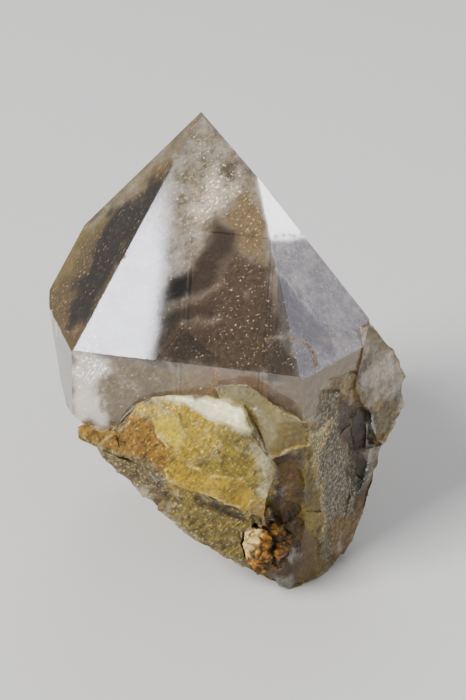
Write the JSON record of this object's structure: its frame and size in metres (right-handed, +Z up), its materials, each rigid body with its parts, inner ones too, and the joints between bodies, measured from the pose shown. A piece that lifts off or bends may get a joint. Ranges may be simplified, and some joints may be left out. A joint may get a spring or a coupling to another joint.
{
  "type": "quartz crystal",
  "caption": "Smoky quartz crystal with a pointed six-sided end, broken off its bed, with yellow iron-stained quartz over its front foot and a rusty lump set in it.",
  "frame": {"origin": "middle of the footprint's bounding box, on the surface that the crystal stands on", "axes": "+Z up along the crystal's long axis, -Y towards the large front pyramid face, +X to its right"},
  "size_m": [0.0682, 0.0693, 0.0851],
  "materials": {
    "smoky_quartz": "clear to smoky, flat glossy crystal faces, matt yellow stained breaks",
    "iron_oxide": "dull rusty brown, rough"
  },
  "bodies": {
    "root": {"quartz_crystal": "smoky_quartz", "iron_oxide_lump": "iron_oxide"}
  },
  "joints": []
}
